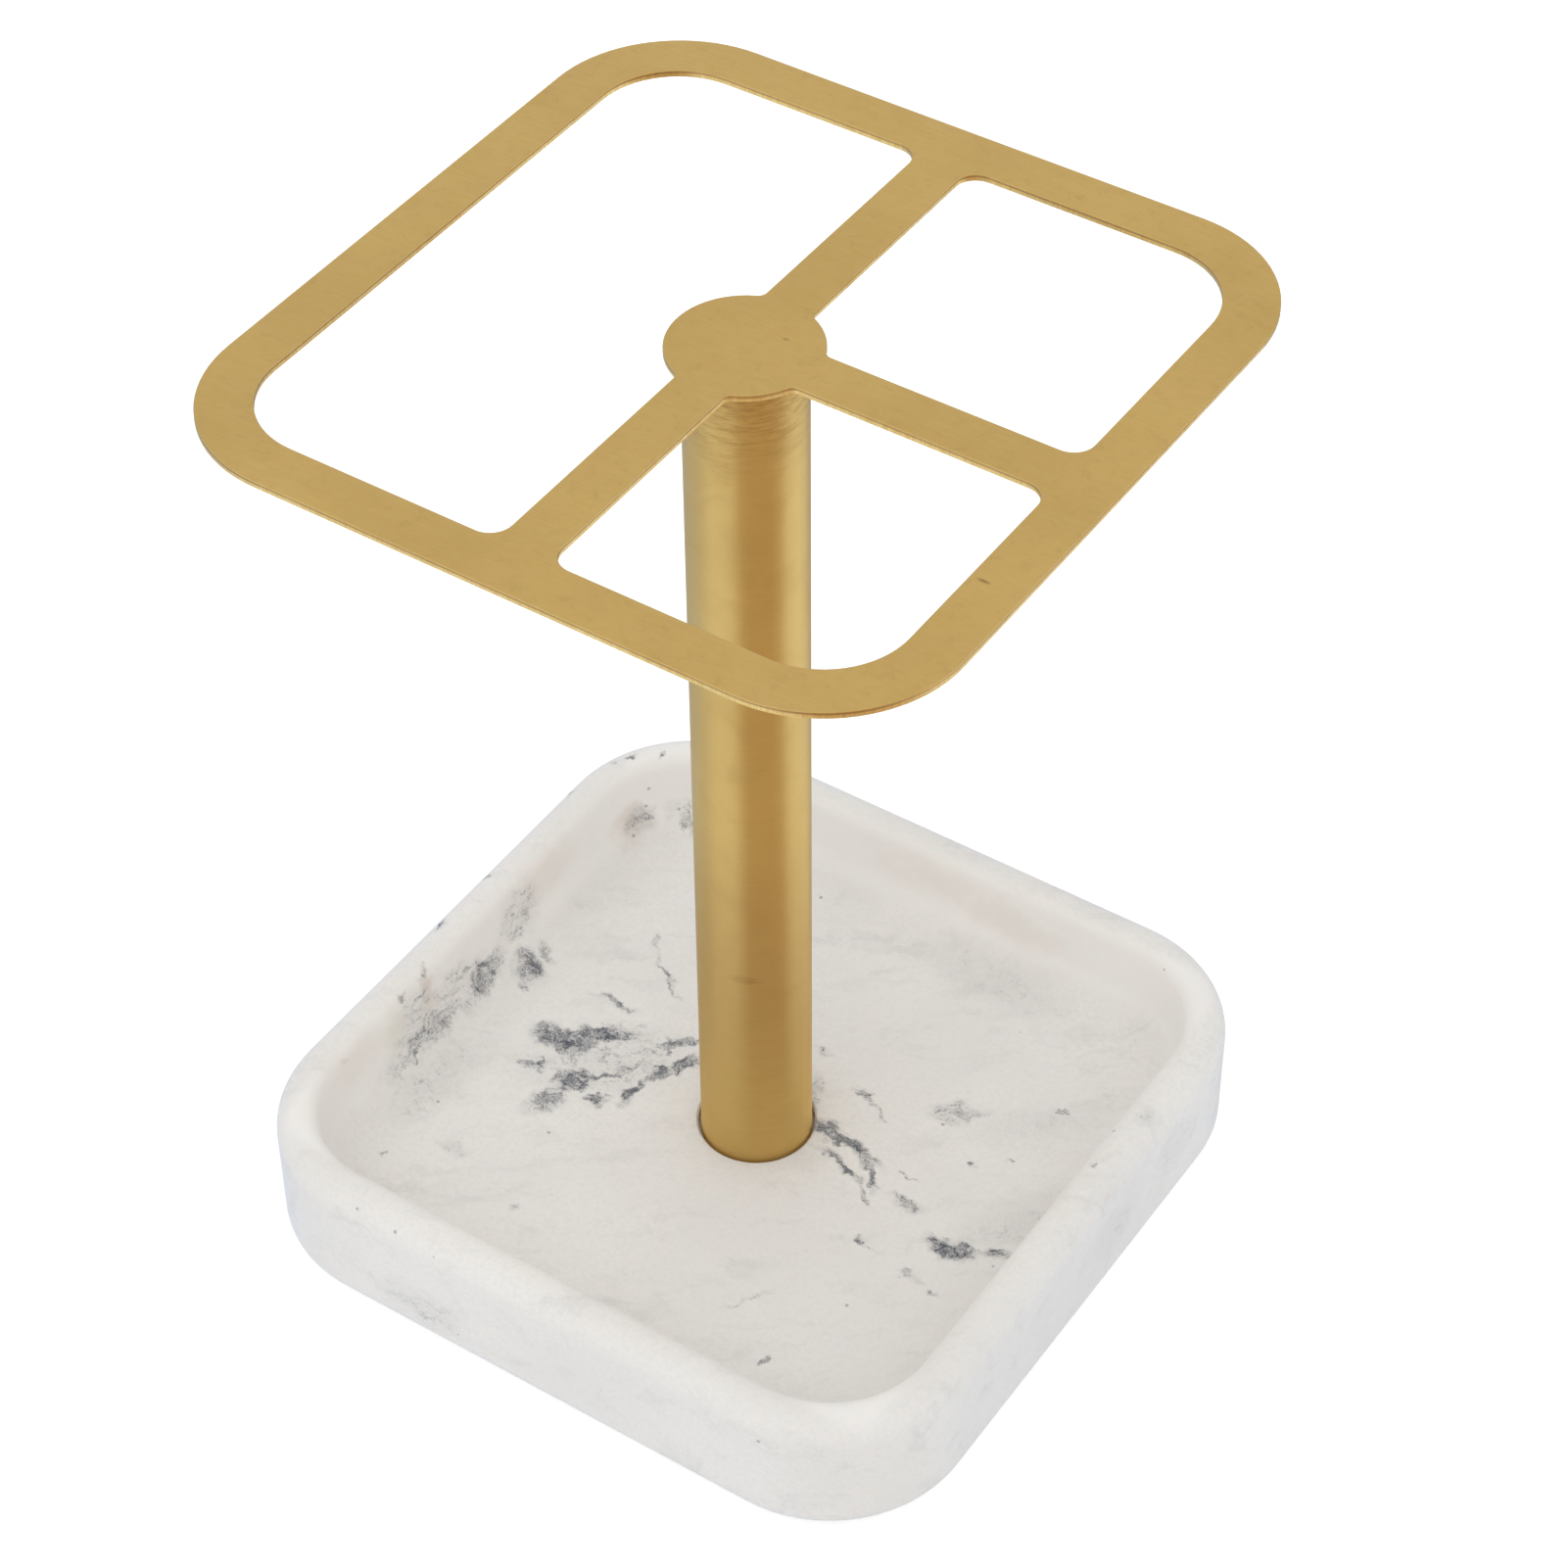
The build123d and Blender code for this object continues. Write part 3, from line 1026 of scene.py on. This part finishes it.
@dataclass(frozen=True)
class ZincPlate:
    """Zinc plated steel with a faint spangle and turning marks."""

    name: str = "zinc_plate_finish"
    metal: Colour = (0.64, 0.59, 0.53)
    dull: Colour = (0.46, 0.42, 0.37)
    dull_share: float = 0.6
    spangle_size: float = 4.0
    turned_lines: Triple = (0.3, 0.3, 9.0)
    scratch_lines: Triple = (0.2, 0.2, 3.0)
    mark_depth: float = 0.004
    roughness: float = 0.34
    wipe_roughness: float = 0.14

    def make(self) -> bpy.types.Material:
        """Builds the finish.

        Returns:
            The material.
        """
        material, bench, shader = new_material(self.name)
        place = bench.place()
        patina = bench.group(Patina.tree(), Place=place, Patch_size=self.spangle_size)
        turned = bench.group(
            BrushedGrain.tree(), Place=place, Lines=self.turned_lines, Scratch_lines=self.scratch_lines
        )
        colour = bench.mix(bench.times(patina.outputs["Cloud"], self.dull_share), self.metal, self.dull)
        rougher = self.roughness + self.wipe_roughness
        rough = bench.remap(patina.outputs["Wipes"], 0.0, 1.0, self.roughness, rougher)
        bench.fill(shader, Base_Color=colour, Roughness=rough, Metallic=1.0)
        add_bump(bench, shader, turned.outputs["Height"], self.mark_depth)
        return material


@dataclass(frozen=True)
class SoftPad:
    """Black anti-slip foam rubber with a fine pebbled skin."""

    name: str = "soft_pad_finish"
    black: Colour = (0.022, 0.022, 0.023)
    worn: Colour = (0.060, 0.058, 0.056)
    pebble_scale: float = 3.2
    pebble_band: Band = (0.45, 0.72)
    pebble_depth: float = 0.06
    wear_size: float = 6.0
    wear_share: float = 0.35
    roughness: float = 0.82

    def make(self) -> bpy.types.Material:
        """Builds the finish.

        Returns:
            The material.
        """
        material, bench, shader = new_material(self.name)
        place = bench.place()
        pebbles = bench.noise(place, self.pebble_scale, roughness=0.65)
        patina = bench.group(Patina.tree(), Place=place, Patch_size=self.wear_size)
        colour = bench.mix(bench.remap(pebbles, *self.pebble_band), self.black, self.worn)
        worn = bench.times(patina.outputs["Wipes"], self.wear_share)
        colour = bench.mix(worn, colour, self.worn)
        bench.fill(shader, Base_Color=colour, Roughness=self.roughness)
        add_bump(bench, shader, pebbles, self.pebble_depth)
        return material


# ---- Sub-assemblies ----


def dress(node: str, material: bpy.types.Material) -> None:
    """Gives a CAD node its finish.

    Args:
        node: the node's name.
        material: the finish.
    """
    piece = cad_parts[node]
    for material_slot in piece.material_slots:
        material_slot.material = material
    LOG.info("dressed %s in %s", node, material.name)


@dataclass
class Rack:
    """The laser-cut top plate and the stud welded under its hub."""

    plate_finish: BrushedPlate = BrushedPlate()

    def build(self, zinc: bpy.types.Material) -> None:
        """Dresses the rack's pieces.

        Args:
            zinc: the finish of the hidden steel.
        """
        dress("rack_plate", self.plate_finish.make())
        dress("plate_stud", zinc)


@dataclass
class Post:
    """The tube and the two threaded plugs in its ends."""

    tube_finish: SatinTube = SatinTube()

    def build(self, zinc: bpy.types.Material) -> None:
        """Dresses the post's pieces.

        Args:
            zinc: the finish of the hidden steel.
        """
        dress("post_tube", self.tube_finish.make())
        dress("top_plug", zinc)
        dress("bottom_plug", zinc)


@dataclass
class Dish:
    """The cast dish, its screw and washer, and the pads that it stands on."""

    resin_finish: MarbleResin = MarbleResin()
    pad_finish: SoftPad = SoftPad()

    def build(self, zinc: bpy.types.Material) -> None:
        """Dresses the dish's pieces.

        Args:
            zinc: the finish of the screw and washer.
        """
        dress("dish_base", self.resin_finish.make())
        dress("base_screw", zinc)
        dress("base_washer", zinc)
        rubber = self.pad_finish.make()
        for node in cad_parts:
            if node.startswith("foot_pad_"):
                dress(node, rubber)


# ---- Studio ----


@dataclass(frozen=True)
class Softbox:
    """One square soft light.

    Attributes:
        name: the light's name.
        place_m: where it hangs, in metres.
        power_w: its power in watts.
        size_m: the length of its side, in metres.
    """

    name: str
    place_m: Triple
    power_w: float
    size_m: float = 1.3

    def build(self, aim: Triple) -> None:
        """Makes the light.

        Args:
            aim: the point that it faces.
        """
        lamp = bpy.data.lights.new(self.name, "AREA")
        lamp.shape = "SQUARE"
        lamp.size = self.size_m
        lamp.energy = self.power_w
        softbox = bpy.data.objects.new(self.name, lamp)
        softbox.location = self.place_m
        facing = Vector(aim) * MM - softbox.location
        softbox.rotation_euler = facing.to_track_quat("-Z", "Y").to_euler()
        softbox.visible_glossy = False
        bpy.context.scene.collection.objects.link(softbox)


@dataclass(frozen=True)
class Dome:
    """A plain white dome, which mirrors see as two tall bright walls with a dim gap between them.

    Attributes:
        light: what it casts on everything.
        overhead: what mirrors see above.
        wall_top: the heights where the walls begin to fade and where they are gone, from 0 to 1.
    """

    light: Colour = (0.77, 0.76615, 0.75075)
    overhead: Colour = (0.84, 0.84, 0.84)
    wall_top: Band = (0.2, 0.55)
    bright: Colour = (1.33, 1.53, 1.90)
    dim: Colour = (0.78, 0.62, 0.50)
    rear: Colour = (0.86, 1.02, 1.42)
    rear_gap: Colour = (0.54, 0.65, 0.96)
    rear_left: Colour = (0.56, 0.78, 1.34)

    def walls(self) -> tuple[tuple[float, Colour], ...]:
        """The walls round the stand: bearings from the front in degrees, and what mirrors see there."""
        return (
            (-180.0, self.rear_gap),
            (-106.0, self.rear_left),
            (-56.0, self.rear),
            (-28.0, self.bright),
            (4.0, self.bright),
            (26.0, self.dim),
            (86.0, self.dim),
            (104.0, self.bright),
            (142.0, self.bright),
            (161.0, self.rear_gap),
        )

    def build(self) -> None:
        """Makes the world that holds the dome."""
        world = bpy.data.worlds.new("studio_dome")
        world.use_nodes = True
        bpy.context.scene.world = world
        bench = Bench(world.node_tree)
        background = world.node_tree.nodes["Background"]
        direction = bench.node("ShaderNodeTexCoord").outputs["Generated"]
        x, y, z = bench.split(direction)
        bearing = bench.maths("ARCTAN2", x, bench.times(y, -1.0))
        around = bench.remap(bearing, -math.pi, math.pi, smooth=False)
        ramp_node = bench.node("ShaderNodeValToRGB")
        bench.feed(ramp_node.inputs[0], around)
        ramp = ramp_node.color_ramp
        ramp.interpolation = "EASE"
        stops_at_start = len(ramp.elements)
        for index, (degrees, colour) in enumerate(self.walls()):
            position = (degrees + 180.0) / 360.0
            at_start = index < stops_at_start
            stop = ramp.elements[index] if at_start else ramp.elements.new(position)
            stop.position = position
            stop.color = (*colour, 1.0)
        mirrored = bench.mix(bench.remap(z, *self.wall_top), ramp_node.outputs[0], self.overhead)
        glossy = bench.node("ShaderNodeLightPath").outputs["Is Glossy Ray"]
        bench.feed(background.inputs["Color"], bench.mix(glossy, self.light, mirrored))


@dataclass(frozen=True)
class ProductCamera:
    """The camera, placed by its angles round the stand."""

    azimuth: float = 33.86
    elevation: float = 43.60
    roll: float = -0.46
    distance: float = 557.4
    aim: Triple = (3.6, 2.4, 75.2)
    lens: float = 95.95
    sensor_width: float = 36.0
    near_clip_m: float = 0.01

    def build(self) -> None:
        """Makes the camera and looks through it."""
        azimuth = math.radians(self.azimuth)
        elevation = math.radians(self.elevation)
        roll = math.radians(self.roll)
        flat = math.cos(elevation)
        back = Vector((math.sin(azimuth) * flat, -math.cos(azimuth) * flat, math.sin(elevation)))
        right = Vector((0.0, 0.0, 1.0)).cross(back).normalized()
        up = back.cross(right)
        rolled_right = right * math.cos(roll) + up * math.sin(roll)
        rolled_up = up * math.cos(roll) - right * math.sin(roll)
        data = bpy.data.cameras.new("product_camera")
        data.sensor_width = self.sensor_width
        data.lens = self.lens
        data.clip_start = self.near_clip_m
        camera = bpy.data.objects.new("product_camera", data)
        facing = Matrix((rolled_right, rolled_up, back)).transposed().to_4x4()
        position = Vector(self.aim) * MM + back * self.distance * MM
        camera.matrix_world = Matrix.Translation(position) @ facing
        bpy.context.scene.collection.objects.link(camera)
        bpy.context.scene.camera = camera


@dataclass
class Studio:
    """A white sweep under the dome, with two softboxes and the camera."""

    floor_size: float = 3000.0
    floor_white: Colour = (0.86, 0.86, 0.86)
    floor_roughness: float = 0.9
    floor_glow: float = 0.5
    dome: Dome = Dome()
    camera: ProductCamera = ProductCamera()
    softboxes: tuple[Softbox, ...] = (
        Softbox("overhead_softbox", (-0.45, -0.35, 1.1), 1.6),
        Softbox("front_softbox", (0.66, -0.89, 0.75), 2.3),
    )

    def build(self) -> None:
        """Makes the floor, the dome, the softboxes and the camera."""
        self.make_floor()
        self.dome.build()
        for softbox in self.softboxes:
            softbox.build(self.camera.aim)
        self.camera.build()
        bpy.context.scene.view_settings.view_transform = "Standard"
        LOG.info("studio ready")

    def make_floor(self) -> None:
        """Makes the pale floor that the stand is on."""
        half = self.floor_size * MM / 2
        mesh = bpy.data.meshes.new("studio_floor")
        corners = [(-half, -half, 0.0), (half, -half, 0.0), (half, half, 0.0), (-half, half, 0.0)]
        mesh.from_pydata(corners, [], [(0, 1, 2, 3)])
        floor = bpy.data.objects.new("studio_floor", mesh)
        bpy.context.scene.collection.objects.link(floor)
        material, bench, shader = new_material("studio_floor")
        seen = bench.node("ShaderNodeLightPath").outputs["Is Camera Ray"]
        bench.fill(
            shader,
            Base_Color=(*self.floor_white, 1.0),
            Roughness=self.floor_roughness,
            Emission_Color=(1.0, 1.0, 1.0, 1.0),
            Emission_Strength=bench.times(seen, self.floor_glow),
        )
        mesh.materials.append(material)
        floor.visible_glossy = False


def main() -> None:
    """Dresses the stand and sets up its studio."""
    zinc = ZincPlate().make()
    Rack().build(zinc)
    Post().build(zinc)
    Dish().build(zinc)
    Studio().build()


if __name__ == "__main__":
    logging.basicConfig(level=logging.INFO, format="%(name)s: %(message)s")
    main()
